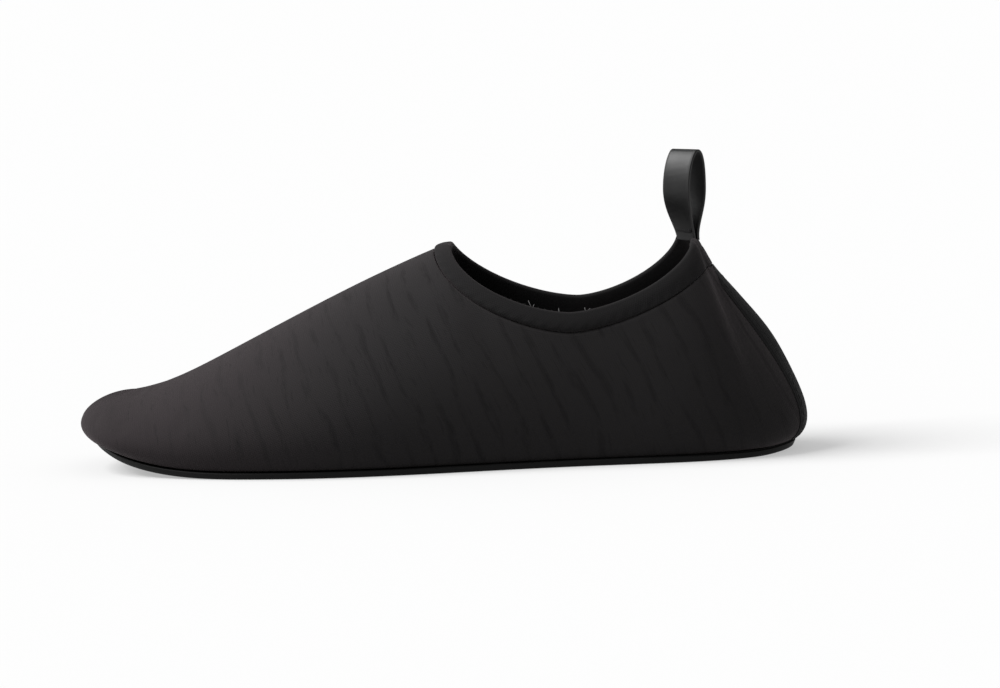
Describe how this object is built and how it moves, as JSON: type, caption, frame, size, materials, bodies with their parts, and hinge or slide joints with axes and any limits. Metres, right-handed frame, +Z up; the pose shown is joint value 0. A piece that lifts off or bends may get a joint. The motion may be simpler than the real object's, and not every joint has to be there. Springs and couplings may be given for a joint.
{
  "type": "water shoe",
  "caption": "Low slip-on water shoe for the left foot: hollow knit upper with a wide mouth and folded collar band, thin grooved rubber sole and a webbing loop at the heel.",
  "frame": {"origin": "middle of the bounding box at the plane that the sole stands on", "axes": "-X towards the toe, -Y towards the outer side of the left foot, +Z up"},
  "size_m": [0.2636, 0.0934, 0.1084],
  "materials": {
    "outsole": "matt moulded rubber",
    "insole": "matt foam with a cloth face",
    "upper": "matt stretch knit with faint tonal stripes",
    "collar_band": "matt folded knit",
    "heel_seam": "matt woven tape",
    "pull_loop": "satin woven webbing"
  },
  "bodies": {
    "root": {"outsole": "outsole", "insole": "insole", "upper": "upper", "collar_band": "collar_band", "heel_seam": "heel_seam", "pull_loop": "pull_loop"}
  },
  "joints": []
}
